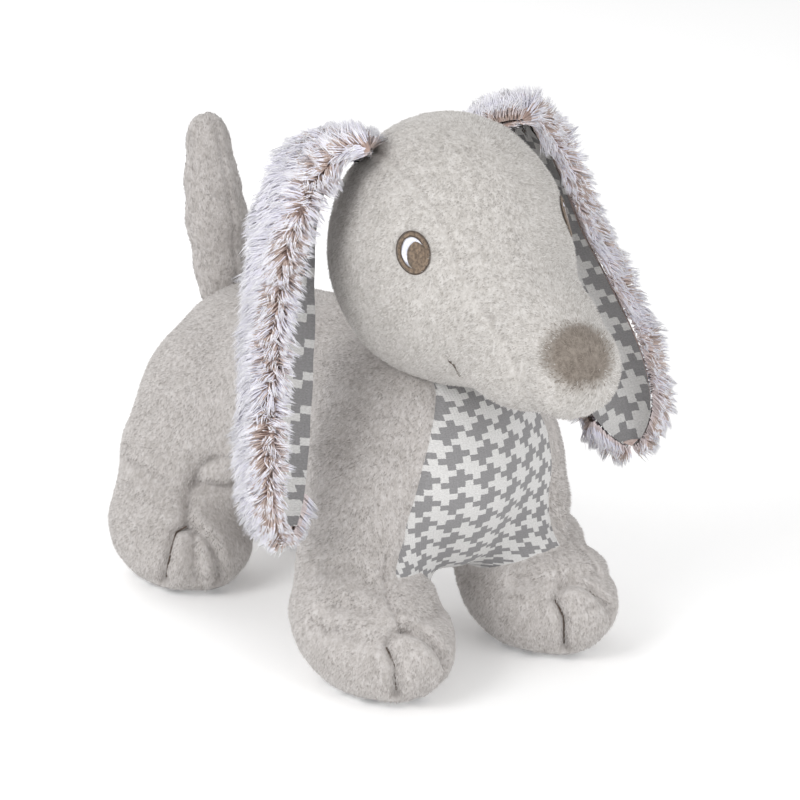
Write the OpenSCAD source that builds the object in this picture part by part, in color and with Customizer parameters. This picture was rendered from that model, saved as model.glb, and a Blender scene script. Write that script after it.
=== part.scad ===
// Standing plush puppy: two-panel body with a printed chest panel, three-panel head,
// embroidered eyes, long-pile hanging ears with a printed lining, upright tail, four stubby legs.
// Faces -Y, its own left is +X, the floor is z = 0. Millimetres.

/* [Fabric] */
// Thickness of the short-pile cover
cover_t = 1.6; // [1:0.1:2.5]
// Thickness of the ear's printed lining
lining_t = 1.2; // [0.8:0.1:2]
// Height of the embroidery above the pile
thread_h = 0.8; // [0.4:0.1:1.2]
// Space kept between parts that move on each other
clearance = 0.8; // [0.6:0.1:1.2]

/* [Head] */
// Half width of the skull
head_rx = 48.5; // [46:0.5:50]
// Half length of the skull
head_ry = 51; // [49:0.5:52]
// Half height of the skull
head_rz = 55.5; // [54:0.5:57]
// Height of the skull's centre above the floor
head_z = 180; // [179:0.5:183]
// Radius of the rounded muzzle end
muzzle_r = 20.5; // [18:0.5:22]
// Half width of the centre gusset at the crown
gusset_w = 31; // [26:1:34]
// Height of an embroidered eye
eye_h = 18; // [14:1:20]
// Width of an embroidered eye
eye_w = 14.5; // [11:0.5:16]
// Diameter of the dyed nose spot
nose_d = 30; // [24:1:34]

/* [Body] */
// Half width of the chest
chest_rx = 44; // [40:1:46]
// Half height of the chest
chest_rz = 51; // [47:1:52]
// Half width of the barrel
barrel_rx = 43; // [40:1:45]
// Half length of the barrel
barrel_ry = 92; // [88:1:94]

/* [Legs] */
// Distance from the middle to the centre of a front foot
front_foot_x = 42.5; // [41:0.5:44]
// Half width of a front foot
front_foot_rx = 29; // [26:0.5:30]
// Half length of a front foot
front_foot_ry = 37; // [33:1:39]
// Half width of a rear foot
rear_foot_rx = 28; // [25:0.5:29]
// Half length of a rear foot
rear_foot_ry = 36; // [32:1:38]

/* [Ears] */
// Thickest part of the long-pile layer
ear_pile = 9; // [6:1:11]
// How far the ear cups outwards in its middle
ear_cup = 11; // [6:1:13]

/* [Tail] */
// Radius of the tail at its fullest
tail_r = 13.3; // [12:0.1:14]

/* [Hidden] */
facets = 18;
// Moves every station forward or back so that the origin lies under the middle of the toy
mid = 3.2;
left = 1;
right = -1;

plush = [0.72, 0.70, 0.68];
plush_light = [0.76, 0.74, 0.72];
print_grey = [0.72, 0.72, 0.73];
fill_white = [0.95, 0.95, 0.93];
fur_lilac = [0.80, 0.77, 0.80];
thread_brown = [0.45, 0.38, 0.32];
thread_white = [0.96, 0.96, 0.98];
nose_taupe = [0.53, 0.50, 0.46];

head_c = [0, -46.5, head_z];
tail_base = [0, 123, 130];

// Ball at the top of each lower leg, about which the leg flexes
function hip(front, s) = front ? [s * 35, -36, 60] : [s * 35, 100, 56];
hip_r = 25.5;

// Stations down the ear, from the root to the tip: front edge and rear edge of the fabric
EAR = [
    [[36, -46, 224.5], [37, -26, 219.5]],
    [[44, -39, 227.5], [45, -22, 223]],
    [[57, -36, 213], [42.5, -18, 205]],
    [[67, -37, 193], [46, -17, 188]],
    [[74, -40, 173], [48, -19, 170]],
    [[80, -46, 158], [51, -25, 155]],
    [[87, -53, 138], [56, -31, 138]],
    [[92, -59, 123], [61, -37, 122]],
    [[95, -62, 108], [67, -43, 106]],
    [[96, -64, 95], [74, -50, 93]],
    [[93, -63, 82], [81, -56, 80]],
    [[89, -60, 75], [87, -58, 74.5]]
];

// ---------- building blocks ----------

module egg(c, r, g = 0) {
    translate(c) hull() scale([r[0] + g, r[1] + g, r[2] + g]) sphere(1, $fn = facets);
}

module link(a, ra, b, rb, g = 0) {
    hull() {
        translate(a) sphere(ra + g, $fn = facets);
        translate(b) sphere(rb + g, $fn = facets);
    }
}

function unit(v) = v / norm(v);
function mix(a, b, t) = a * (1 - t) + b * t;

// Closed slab between two grids of points, a and b, each rows x columns
module slab(a, b) {
    n = len(a);
    m = len(a[0]);
    k = n * m;
    pts = concat([for (r = a) each r], [for (r = b) each r]);
    top = [for (i = [0:n - 2], j = [0:m - 2]) each [
        [i * m + j, i * m + j + 1, (i + 1) * m + j],
        [i * m + j + 1, (i + 1) * m + j + 1, (i + 1) * m + j]]];
    bottom = [for (f = top) [f[0] + k, f[2] + k, f[1] + k]];
    sides = [
        for (i = [0:n - 2]) each [
            [i * m, (i + 1) * m, i * m + k],
            [(i + 1) * m, (i + 1) * m + k, i * m + k],
            [i * m + m - 1, i * m + m - 1 + k, (i + 1) * m + m - 1],
            [(i + 1) * m + m - 1, i * m + m - 1 + k, (i + 1) * m + m - 1 + k]],
        for (j = [0:m - 2]) each [
            [j, j + k, j + 1],
            [j + 1, j + k, j + 1 + k],
            [(n - 1) * m + j, (n - 1) * m + j + 1, (n - 1) * m + j + k],
            [(n - 1) * m + j + 1, (n - 1) * m + j + 1 + k, (n - 1) * m + j + k]]];
    polyhedron(pts, concat(top, bottom, sides), convexity = 6);
}

// ---------- forms, each grown by g ----------

module head_form(g = 0) {
    egg(head_c, [head_rx, head_ry, head_rz], g);
    link([0, -75, head_z - 15], 36, [0, -88, head_z - 20], 32, g);
    link([0, -88, head_z - 20], 32, [0, -102, head_z - 24.5], 27.5, g);
    link([0, -102, head_z - 24.5], 27.5, [0, -114, head_z - 27.2], 24, g);
    link([0, -114, head_z - 27.2], 24, [0, -126.5, head_z - 29.5], muzzle_r, g);
}

module torso_form(g = 0) {
    hull() {
        egg([0, -28, 91], [chest_rx, 49, chest_rz], g);
        egg([0, 35, 92], [barrel_rx, barrel_ry, 43], g);
    }
    hull() {
        egg([0, 35, 92], [barrel_rx, barrel_ry, 43], g);
        egg([0, 92, 86], [36, 46, 41], g);
    }
    for (s = [left, right]) {
        link([s * 29, -31, 82], 25, hip(true, s), hip_r, g);
        egg([s * 29, 95, 70], [25, 37, 40], g);
    }
}

// Lower leg and foot, standing on the floor
module leg_form(front, s, g = 0) {
    h = hip(front, s);
    ankle = front ? [s * 43, -41, 32] : [s * 41, 102, 28];
    ankle_r = front ? 27 : 25.5;
    foot = front ? [s * front_foot_x, -56, 23] : [s * 42, 93, 22];
    foot_r = front ? [front_foot_rx, front_foot_ry, 27] : [rear_foot_rx, rear_foot_ry, 26];
    intersection() {
        union() {
            link(h, hip_r, ankle, ankle_r, g);
            egg(foot, foot_r, g);
        }
        translate([-200, -200, -g]) cube([400, 400, 200]);
    }
}

// Room for the top of a lower leg as it flexes 12 degrees either way
module leg_swing(front, s) {
    h = hip(front, s);
    ankle = front ? [s * 43, -41, 32] : [s * 41, 102, 28];
    ankle_r = front ? 27 : 25.5;
    hull() {
        translate(h) sphere(hip_r + clearance, $fn = facets);
        for (a = [-12, 12])
            translate(h) rotate([a, 0, 0]) translate(ankle - h) sphere(ankle_r + clearance, $fn = facets);
    }
    foot = front ? [s * front_foot_x, -56, 23] : [s * 42, 93, 22];
    foot_r = front ? [front_foot_rx, front_foot_ry, 27] : [rear_foot_rx, rear_foot_ry, 26];
    hull() for (a = [-12, 12])
        translate(h) rotate([a, 0, 0]) translate(-h) egg(foot, foot_r, clearance);
}

module tail_form(g = 0) {
    link(tail_base, 11.5, [0, 124, 138], 12.4, g);
    link([0, 124, 138], 12.4, [0, 126, 150], tail_r, g);
    link([0, 126, 150], tail_r, [0, 128, 160], 12.6, g);
    link([0, 128, 160], 12.6, [0, 130, 170], 11.2, g);
    link([0, 130, 170], 11.2, [0, 131.5, 181], 9.4, g);
    link([0, 131.5, 181], 9.4, [0, 132.5, 189], 8, g);
}

// Room for the foot of the tail as it wags 20 degrees either way
module tail_swing() {
    hull() {
        translate(tail_base) sphere(11.5 + clearance, $fn = facets);
        for (a = [-20, 20])
            translate(tail_base) rotate([0, a, 0]) translate([0, 3, 20]) sphere(tail_r + clearance, $fn = facets);
    }
}

// Everything the torso leaves room for: the rolling head, the legs and the tail
module sockets() {
    for (a = [-8, 6])
        translate(head_c) rotate([a, 0, 0]) egg([0, 0, 0], [head_rx, head_ry, head_rz], clearance + 0.7);
    hull() for (a = [-8, 6], t = [-20, 20])
        translate(head_c) rotate([a, 0, t]) translate([0, -28.5, -15]) sphere(36 + clearance + 0.4, $fn = facets);
    for (s = [left, right], f = [true, false]) leg_swing(f, s);
    tail_swing();
}

// ---------- regions that divide a cover into its cut panels ----------

module chest_region() {
    translate([0, -45, 0]) rotate([90, 0, 0]) linear_extrude(60)
        polygon([[-16, 126], [16, 126], [22, 111], [27, 97], [30, 82], [34, 64], [41, 50], [41, 30],
                 [-41, 30], [-41, 50], [-34, 64], [-30, 82], [-27, 97], [-22, 111]]);
}

module belly_region() {
    translate([-19, -45, 0]) cube([38, 160, 75]);
}

module gusset_region() {
    intersection() {
        gusset_plan();
        gusset_profile();
    }
}

// Side view of the gusset: over the crown, round the muzzle's end, down to the nape
module gusset_profile() {
    translate([-60, 0, 0]) rotate([90, 0, 90]) linear_extrude(120)
        polygon([[-160, head_z - 46], [-119, head_z - 46], [-111, head_z - 30], [-75, head_z - 15], [-46, head_z - 2],
                 [-18, head_z - 10], [-4, head_z - 60], [20, head_z - 60], [20, head_z + 90], [-160, head_z + 90]]);
}

module gusset_plan() {
    translate([0, 0, head_z - 70]) linear_extrude(160)
        polygon([[-12, 20], [12, 20], [gusset_w - 4, -20], [gusset_w, -44], [gusset_w, -66], [29, -80],
                 [26, -94], [24.5, -110], [22, -121], [22, -160], [-22, -160], [-22, -121], [-24.5, -110],
                 [-26, -94], [-29, -80], [-gusset_w, -66], [-gusset_w, -44], [4 - gusset_w, -20]]);
}

module side_half(s, y0 = -250, y1 = 250) {
    translate([s > 0 ? 0 : -150, y0, -10]) cube([150, y1 - y0, 300]);
}

// ---------- body ----------

module torso_cover() {
    difference() {
        torso_form(0);
        torso_form(-cover_t);
        sockets();
    }
}

module body_side(s) {
    color(plush) translate([0, mid, 0]) difference() {
        intersection() {
            torso_cover();
            side_half(s);
        }
        chest_region();
        belly_region();
    }
}

module chest_panel() {
    color(print_grey) translate([0, mid, 0]) difference() {
        intersection() {
            torso_cover();
            chest_region();
        }
        belly_region();
    }
}

module belly_panel() {
    color(plush) translate([0, mid, 0]) intersection() {
        torso_cover();
        belly_region();
    }
}

module body_stuffing() {
    color(fill_white) translate([0, mid, 0]) difference() {
        torso_form(-cover_t);
        sockets();
    }
}

// Wad of filling that reaches up through the neck opening; the head rolls about its round top
module neck_stuffing() {
    color(fill_white) translate([0, mid, 0]) translate(head_c) {
        sphere(14, $fn = 32);
        translate([0, 0, -54]) cylinder(r = 9, h = 54, $fn = 32);
    }
}

// Room for that wad inside the head, wide enough at the neck opening for the head to nod
module neck_room() {
    translate(head_c) {
        sphere(14 + clearance, $fn = 28);
        translate([0, 0, -70]) cylinder(r1 = 26, r2 = 14, h = 60, $fn = 28);
    }
}

// ---------- head ----------

module head_cover() {
    difference() {
        head_form(0);
        head_form(-cover_t);
        neck_room();
    }
}

module head_side(s) {
    color(plush_light) translate([0, mid, 0]) difference() {
        intersection() {
            head_cover();
            side_half(s);
        }
        gusset_region();
    }
}

module head_gusset() {
    color(plush_light) translate([0, mid, 0]) intersection() {
        head_cover();
        gusset_region();
    }
}

module head_stuffing() {
    color(fill_white) translate([0, mid, 0]) difference() {
        union() {
            head_form(-cover_t);
            link(head_c, 30, [0, -60, head_z], 30);
            link(head_c, 30, [0, -60, head_z - 6], 30);
            link(head_c, 30, [0, -60, head_z + 6], 30);
        }
        neck_room();
    }
}

// Thin layer that lies on the head cover
module head_skin(h) {
    difference() {
        head_form(h);
        head_form(0);
    }
}

module nose_patch() {
    color(nose_taupe) translate([0, mid, 0]) intersection() {
        head_skin(thread_h);
        translate([0, -125, 152]) rotate([58, 0, 0]) cylinder(d = nose_d, h = 60, $fn = 40);
    }
}

module mouth_stitches() {
    color(thread_brown) translate([0, mid, 0]) intersection() {
        head_skin(thread_h);
        union() {
            for (s = [left, right])
                translate([s * 27, -86.5, 143.5]) rotate([-28, 0, 0]) cube([20, 1.4, 10], center = true);
        }
    }
}

// Places a shape at the eye, its z along the outward normal
module at_eye(s) {
    translate([s * 38.7, -75, 192.2]) rotate([0, 0, s > 0 ? -32.5 : 212.5]) rotate([0, 77, 0]) rotate([0, 0, s > 0 ? 78 : 102]) children();
}

module eye_disc(w, h, x = 0, y = 0) {
    translate([x, y, -12]) scale([w / h, 1, 1]) cylinder(d = h, h = 30, $fn = 24);
}

module eye_outline(s) {
    color(thread_brown) translate([0, mid, 0]) intersection() {
        head_skin(thread_h);
        at_eye(s) difference() {
            eye_disc(eye_w, eye_h);
            eye_disc(eye_w - 3.6, eye_h - 3.6);
        }
    }
}

module eye_white(s) {
    color(thread_white) translate([0, mid, 0]) intersection() {
        head_skin(thread_h);
        at_eye(s) difference() {
            eye_disc(eye_w - 3.6, eye_h - 3.6);
            eye_disc(eye_w - 5.6, eye_h - 6.4, 0, -1.4);
        }
    }
}

module eye_pupil(s) {
    color(thread_brown) translate([0, mid, 0]) intersection() {
        head_skin(thread_h);
        at_eye(s) eye_disc(eye_w - 5.6, eye_h - 6.4, 0, -1.4);
    }
}

// ---------- ears ----------

ear_cols = 8;
function ear_w(i) = EAR[i][1] - EAR[i][0];
function ear_mid(i) = (EAR[i][0] + EAR[i][1]) / 2;
function ear_t(i) = ear_mid(min(i + 1, len(EAR) - 1)) - ear_mid(max(i - 1, 0));
function ear_n(i) = unit(cross(ear_t(i), ear_w(i)));
// The ear thins towards its sewn root
function ear_root(i) = min(1, (i + 0.5) / 2);
// Point at station i, part v of the way across, at depth d outside the lining's face
function ear_pt(i, v, d, s) =
    let (p = mix(EAR[i][0], EAR[i][1], v) + ear_n(i) * (d + ear_root(i) * ear_cup * sin(180 * v) * min(1, norm(ear_w(i)) / 30)))
    [s * p[0], p[1], p[2]];
function ear_grid(d, s) = [for (i = [0:len(EAR) - 1]) [for (j = [0:ear_cols]) ear_pt(i, j / ear_cols, d, s)]];
function ear_pile_grid(s) = [for (i = [0:len(EAR) - 1]) [for (j = [0:ear_cols])
    ear_pt(i, j / ear_cols, lining_t + ear_root(i) * (1.6 + ear_pile * sqrt(sin(180 * min(max(j / ear_cols, 0), 1))) * min(1, norm(ear_w(i)) / 22)), s)]];

module ear_fur(s) {
    color(fur_lilac) translate([0, mid, 0])
        if (s > 0) slab(ear_grid(lining_t, s), ear_pile_grid(s)); else slab(ear_pile_grid(s), ear_grid(lining_t, s));
}

module ear_lining(s) {
    color(print_grey) translate([0, mid, 0])
        if (s > 0) slab(ear_grid(0, s), ear_grid(lining_t, s)); else slab(ear_grid(lining_t, s), ear_grid(0, s));
}

// ---------- legs ----------

module leg_cover(front, s) {
    difference() {
        leg_form(front, s, 0);
        leg_form(front, s, -cover_t);
        translate([-200, -200, -1]) cube([400, 400, 1 + cover_t]);
    }
}

module leg_panel(front, s, outer) {
    x0 = s * 41;
    half = outer ? s : -s;
    color(plush) translate([0, mid, 0]) intersection() {
        leg_cover(front, s);
        translate([half > 0 ? x0 : x0 - 100, -200, -5]) cube([100, 400, 200]);
        union() { for (i = [0:5]) hull() translate([-200, -200, 30 * i - 20]) cube([400, 400, 31]); }
    }
}

module leg_sole(front, s) {
    color(print_grey) translate([0, mid, 0]) intersection() {
        leg_form(front, s, 0);
        translate([-200, -200, -1]) cube([400, 400, 1 + cover_t]);
        union() { for (i = [0:6]) hull() translate([-200, -200, 30 * i - 20]) cube([400, 400, 31]); }
    }
}

module leg_stuffing(front, s) {
    color(fill_white) translate([0, mid, 0]) intersection() {
        leg_form(front, s, -cover_t);
        union() { for (i = [0:6]) hull() translate([-200, -200, 30 * i - 20]) cube([400, 400, 31]); }
    }
}

// Two rows of thread that pull the middle toe in, meeting above it
module toe_stitches(front, s) {
    cx = front ? s * front_foot_x : s * 42;
    y1 = front ? -93 : 57;
    color(thread_brown) translate([0, mid, 0]) intersection() {
        difference() {
            leg_form(front, s, thread_h);
            leg_form(front, s, 0);
        }
        translate([-200, -200, 3]) cube([400, 400, 31]);
        union() {
            for (t = [-1, 1])
                translate([cx - 5 + t * 6.2, y1 + 10, 18]) rotate([0, t * 16, 0]) cube([1.2, 40, 34], center = true);
        }
        union() { for (i = [0:4]) hull() translate([-200, -200, 30 * i - 20]) cube([400, 400, 31]); }
    }
}

// ---------- tail ----------

module tail_cover() {
    difference() {
        tail_form(0);
        tail_form(-cover_t);
    }
}

module tail_panel(s) {
    color(plush) translate([0, mid, 0]) intersection() {
        tail_cover();
        side_half(s);
    }
}

module tail_stuffing() {
    color(fill_white) translate([0, mid, 0]) union() {
        tail_form(-cover_t);
        link([0, 124, 138], 5, [0, 126, 150], 5);
        link([0, 126, 150], 5, [0, 128, 160], 5);
    }
}

body_side(left);  // body_side_left
body_side(right);  // body_side_right
chest_panel();
belly_panel();
body_stuffing();
neck_stuffing();
head_side(left);  // head_side_left
head_side(right);  // head_side_right
head_gusset();
head_stuffing();
nose_patch();
mouth_stitches();
eye_outline(left);  // eye_outline_left
eye_white(left);  // eye_white_left
eye_pupil(left);  // eye_pupil_left
eye_outline(right);  // eye_outline_right
eye_white(right);  // eye_white_right
eye_pupil(right);  // eye_pupil_right
ear_fur(left);  // ear_fur_left
ear_lining(left);  // ear_lining_left
ear_fur(right);  // ear_fur_right
ear_lining(right);  // ear_lining_right
leg_panel(true, left, true);  // front_leg_left_outer
leg_panel(true, left, false);  // front_leg_left_inner
leg_sole(true, left);  // front_leg_left_sole
leg_stuffing(true, left);  // front_leg_left_stuffing
toe_stitches(true, left);  // front_leg_left_toe_stitches
leg_panel(true, right, true);  // front_leg_right_outer
leg_panel(true, right, false);  // front_leg_right_inner
leg_sole(true, right);  // front_leg_right_sole
leg_stuffing(true, right);  // front_leg_right_stuffing
toe_stitches(true, right);  // front_leg_right_toe_stitches
leg_panel(false, left, true);  // rear_leg_left_outer
leg_panel(false, left, false);  // rear_leg_left_inner
leg_sole(false, left);  // rear_leg_left_sole
leg_stuffing(false, left);  // rear_leg_left_stuffing
toe_stitches(false, left);  // rear_leg_left_toe_stitches
leg_panel(false, right, true);  // rear_leg_right_outer
leg_panel(false, right, false);  // rear_leg_right_inner
leg_sole(false, right);  // rear_leg_right_sole
leg_stuffing(false, right);  // rear_leg_right_stuffing
toe_stitches(false, right);  // rear_leg_right_toe_stitches
tail_panel(left);  // tail_panel_left
tail_panel(right);  // tail_panel_right
tail_stuffing();
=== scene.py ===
import math

import bpy
import numpy as np
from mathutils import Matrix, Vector


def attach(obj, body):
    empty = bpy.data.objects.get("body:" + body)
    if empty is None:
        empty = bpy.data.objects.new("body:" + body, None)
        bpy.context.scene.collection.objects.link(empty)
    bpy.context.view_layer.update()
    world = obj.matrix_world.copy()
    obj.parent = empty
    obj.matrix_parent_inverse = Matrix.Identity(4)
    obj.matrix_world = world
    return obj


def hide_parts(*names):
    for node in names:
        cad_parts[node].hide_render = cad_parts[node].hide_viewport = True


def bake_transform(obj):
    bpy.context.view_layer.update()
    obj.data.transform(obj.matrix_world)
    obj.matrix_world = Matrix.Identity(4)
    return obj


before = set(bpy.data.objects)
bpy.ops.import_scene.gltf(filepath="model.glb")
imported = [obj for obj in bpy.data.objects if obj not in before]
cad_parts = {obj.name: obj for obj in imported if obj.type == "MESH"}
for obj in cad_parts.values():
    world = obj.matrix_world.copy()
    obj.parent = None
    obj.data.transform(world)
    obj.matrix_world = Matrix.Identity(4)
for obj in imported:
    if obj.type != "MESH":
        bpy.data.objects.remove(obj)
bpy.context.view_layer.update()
MID = 3.2                      # CAD y = model y + MID, both in mm
STEP = 1.35
PILE = 1.0

# ------------------------------------------------------------------ implicit forms, in mm


def smin(a, b, k):
    h = np.clip(0.5 + 0.5 * (b - a) / k, 0, 1)
    return b + (a - b) * h - k * h * (1 - h)


def smax(a, b, k):
    return -smin(-a, -b, k)


def ell(P, c, r, pitch=0):
    q = P - np.array(c, float)
    if pitch:
        a = math.radians(pitch)
        y = q[..., 1] * math.cos(a) + q[..., 2] * math.sin(a)
        z = -q[..., 1] * math.sin(a) + q[..., 2] * math.cos(a)
        q = np.stack([q[..., 0], y, z], -1)
    r = np.array(r, float)
    k0 = np.sqrt(((q / r) ** 2).sum(-1)) + 1e-9
    k1 = np.sqrt(((q / r ** 2) ** 2).sum(-1)) + 1e-9
    return k0 * (k0 - 1) / k1


def cone(P, a, b, ra, rb):
    a, b = np.array(a, float), np.array(b, float)
    d = b - a
    t = np.clip(((P - a) @ d) / (d @ d), 0, 1)
    return np.sqrt((((P - a) - t[..., None] * d) ** 2).sum(-1)) - (ra + (rb - ra) * t)


def chain(P, pts, k=6):
    s = None
    for (a, ra), (b, rb) in zip(pts[:-1], pts[1:]):
        c = cone(P, a, b, ra, rb)
        s = c if s is None else smin(s, c, k)
    return s


def mx(P):
    Q = P.copy()
    Q[..., 0] = np.abs(Q[..., 0])
    return Q


def f_head(P):
    Q = mx(P)
    s = ell(P, (0, -46.5, 180), (48.5, 51, 55.5))
    return smin(s, chain(Q, [((0, -75, 165), 36), ((0, -102, 155.5), 27.5), ((0, -126.5, 150.5), 20.5)]), 12)


def f_torso(P):
    s = ell(P, (0, 35, 92), (43, 92, 43), -2)
    s = smin(s, ell(P, (0, -28, 91), (44, 49, 51)), 14)
    return smin(s, ell(P, (0, 92, 86), (36, 46, 41)), 14)


def f_fleg(P):
    Q = mx(P)
    f = chain(Q, [((29, -31, 82), 25), ((38, -38, 48), 25.5), ((43, -41, 32), 27)])
    return smin(f, ell(Q, (42.5, -56, 23), (29, 37, 27)), 10)


def f_rleg(P):
    Q = mx(P)
    r = ell(Q, (29, 95, 68), (25, 37, 43))
    r = smin(r, cone(Q, (36, 102, 52), (41, 102, 28), 27, 25.5), 10)
    return smin(r, ell(Q, (42, 93, 22), (28, 36, 26)), 10)


def f_body(P):
    s = f_torso(P)
    s = smin(s, f_fleg(P), 12)
    s = smin(s, f_rleg(P), 12)
    return smax(s, -P[..., 2], 5)


def f_tail(P):
    return chain(P, [((0, 121, 120), 11), ((0, 123, 130), 11.5), ((0, 126, 150), 13.3), ((0, 129.5, 168), 11.5),
                     ((0, 132, 184), 9), ((0, 132.5, 189), 8)], 4)


# ------------------------------------------------------------------ meshing


def nets(f, lo, hi, h):
    """Surface nets over a grid: vertices and quads of the zero level of f."""
    lo = np.array(lo, float)
    n = [int(math.ceil((hi[i] - lo[i]) / h)) + 1 for i in range(3)]
    G = np.stack(np.meshgrid(*[lo[i] + h * np.arange(n[i]) for i in range(3)], indexing="ij"), -1)
    v = f(G)
    nc = [m - 1 for m in n]
    total = nc[0] * nc[1] * nc[2]
    acc, cnt, quads = np.zeros((total, 3)), np.zeros(total), []
    for a in range(3):
        s0, s1 = [slice(None)] * 3, [slice(None)] * 3
        s0[a], s1[a] = slice(0, -1), slice(1, None)
        v0, v1 = v[tuple(s0)], v[tuple(s1)]
        m = (v0 < 0) != (v1 < 0)
        I = np.argwhere(m)
        P = lo + h * I
        P[:, a] += h * (v0[m] / (v0[m] - v1[m]))
        b, c = (a + 1) % 3, (a + 2) % 3
        ok = (I[:, b] > 0) & (I[:, b] < nc[b]) & (I[:, c] > 0) & (I[:, c] < nc[c])
        I, P, inside = I[ok], P[ok], (v0[m] < 0)[ok]
        q = []
        for db, dc in ((-1, -1), (0, -1), (0, 0), (-1, 0)):
            J = I.copy()
            J[:, b] += db
            J[:, c] += dc
            k = np.ravel_multi_index(J.T, nc)
            for i in range(3):
                acc[:, i] += np.bincount(k, P[:, i], total)
            cnt += np.bincount(k, minlength=total)
            q.append(k)
        q = np.stack(q, 1)
        q[~inside] = q[~inside][:, ::-1]
        quads.append(q)
    Q = np.concatenate(quads)
    cells, inv = np.unique(Q, return_inverse=True)
    return acc[cells] / cnt[cells][:, None], inv.reshape(-1, 4)


def grad(f, P, e=0.25):
    return np.stack([f(P + np.eye(3)[i] * e) - f(P - np.eye(3)[i] * e) for i in range(3)], -1) / (2 * e)


def unit(v):
    return v / (np.linalg.norm(v, axis=-1, keepdims=True) + 1e-12)


def project(f, P, n=3):
    for _ in range(n):
        g = grad(f, P)
        P = P - f(P)[..., None] * g / ((g ** 2).sum(-1, keepdims=True) + 1e-9)
    return P


def skin(f, lo, hi, h):
    V, Q = nets(f, lo, hi, h)
    V = project(f, V)
    T = np.concatenate([Q[:, [0, 1, 2]], Q[:, [0, 2, 3]]])
    return V, T


def line_dist(V, pts):
    pts = np.array(pts, float)
    best = np.full(len(V), 1e9)
    for a, b in zip(pts[:-1], pts[1:]):
        d = b - a
        t = np.clip(((V - a) @ d) / (d @ d), 0, 1)
        best = np.minimum(best, np.linalg.norm(V - a - t[:, None] * d, axis=1))
    return best


def cut(V, T, f, keep=None):
    """Splits triangles along f = 0. Returns V with the new points, and the triangles inside (f < 0) and outside.
    keep is a list of other per-vertex arrays that are carried on."""
    g = f(V) if callable(f) else f
    g = np.where(np.abs(g) < 1e-6, 1e-6, g)
    s = g[T] < 0
    k = s.sum(1)
    inside, outside = [T[k == 3]], [T[k == 0]]
    newv, newi = {}, []
    base = len(V)
    mix = [T[(k == 1) | (k == 2)]]
    M = mix[0]
    extra = []
    if len(M):
        sm = g[M] < 0
        lone = np.where(sm.sum(1) == 1, np.argmax(sm, 1), np.argmin(sm, 1))
        r = np.arange(len(M))
        A, B, C = M[r, lone], M[r, (lone + 1) % 3], M[r, (lone + 2) % 3]
        e = np.concatenate([np.stack([A, B], 1), np.stack([A, C], 1)])
        key = np.sort(e, 1)
        u, inv = np.unique(key, axis=0, return_inverse=True)
        inv = inv.ravel()
        t = g[u[:, 0]] / (g[u[:, 0]] - g[u[:, 1]])
        extra = [u, t]
        P = V[u[:, 0]] * (1 - t[:, None]) + V[u[:, 1]] * t[:, None]
        V = np.concatenate([V, P])
        AB, AC = base + inv[:len(M)], base + inv[len(M):]
        one = np.stack([A, AB, AC], 1)
        two = np.concatenate([np.stack([AB, B, C], 1), np.stack([AB, C, AC], 1)])
        al = g[A] < 0
        al2 = np.concatenate([al, al])
        inside += [one[al], two[~al2]]
        outside += [one[~al], two[al2]]
    if keep is not None and len(M):
        u, t = extra
        for i, K in enumerate(keep):
            tt = t[:, None] if K.ndim > 1 else t
            keep[i] = np.concatenate([K, K[u[:, 0]] * (1 - tt) + K[u[:, 1]] * tt])
    return V, np.concatenate(inside), np.concatenate(outside)


def compact(V, T, *more):
    u, inv = np.unique(T, return_inverse=True)
    return (V[u], inv.reshape(T.shape)) + tuple(m[u] for m in more)


def to_m(V):
    return (V + np.array([0, MID, 0])) / 1000.0


def new_mesh(name, V, F, mats, smooth=True, index=None, uv=None, normals=None):
    """V in mm and F a triangle or quad array. uv is one pair of numbers per vertex."""
    me = bpy.data.meshes.new(name)
    k = F.shape[1]
    me.vertices.add(len(V))
    me.vertices.foreach_set("co", to_m(V).astype(np.float32).ravel())
    me.loops.add(F.size)
    me.loops.foreach_set("vertex_index", F.astype(np.int32).ravel())
    me.polygons.add(len(F))
    me.polygons.foreach_set("loop_start", np.arange(0, F.size, k, dtype=np.int32))
    me.polygons.foreach_set("loop_total", np.full(len(F), k, np.int32))
    if index is not None:
        me.polygons.foreach_set("material_index", index.astype(np.int32))
    me.polygons.foreach_set("use_smooth", np.full(len(F), smooth))
    for m in mats:
        me.materials.append(m)
    if uv is not None:
        layer = me.uv_layers.new(name="weave")
        layer.data.foreach_set("uv", uv[F.ravel()].astype(np.float32).ravel())
    me.update(calc_edges=True)
    me.validate()
    if normals is not None:
        me.normals_split_custom_set_from_vertices(normals.tolist())
    o = bpy.data.objects.new(name, me)
    bpy.context.scene.collection.objects.link(o)
    return o


# ------------------------------------------------------------------ materials


def lin(c):
    c = np.array(c, float) / 255
    return tuple(np.where(c <= 0.04045, c / 12.92, ((c + 0.055) / 1.055) ** 2.4)) + (1.0,)


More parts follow.
